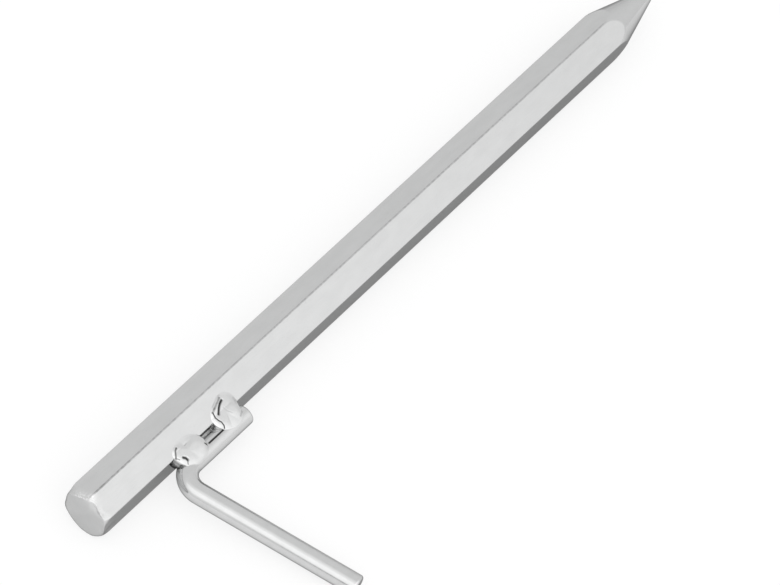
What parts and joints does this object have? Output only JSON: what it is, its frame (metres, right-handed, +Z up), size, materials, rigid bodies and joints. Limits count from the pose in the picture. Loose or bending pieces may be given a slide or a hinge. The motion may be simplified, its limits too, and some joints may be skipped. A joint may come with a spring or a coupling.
{
  "type": "tent peg",
  "caption": "Steel ground peg: a pointed hexagonal bar with an L-shaped hook of round rod welded near its head to hold a guy line.",
  "frame": {"origin": "on the ground, under the middle of the peg as it lies by itself on its bottom corner and the end of its hook", "axes": "+X along the bar from the head to the point; +Z up; the hook stands out to -Y and dips 4.2 degrees to the ground"},
  "size_m": [0.3, 0.0856, 0.0183],
  "materials": {
    "bar_zinc": "bright zinc plating over drawn hexagonal bar, satin",
    "rod_zinc": "bright zinc plating over round rod, semi-gloss",
    "weld_zinc": "bright zinc plating over smooth weld metal"
  },
  "bodies": {
    "root": {"shank": "bar_zinc", "hook": "rod_zinc", "weld_bead_near_bend": "weld_zinc", "weld_bead_near_rod_end": "weld_zinc"}
  },
  "joints": []
}
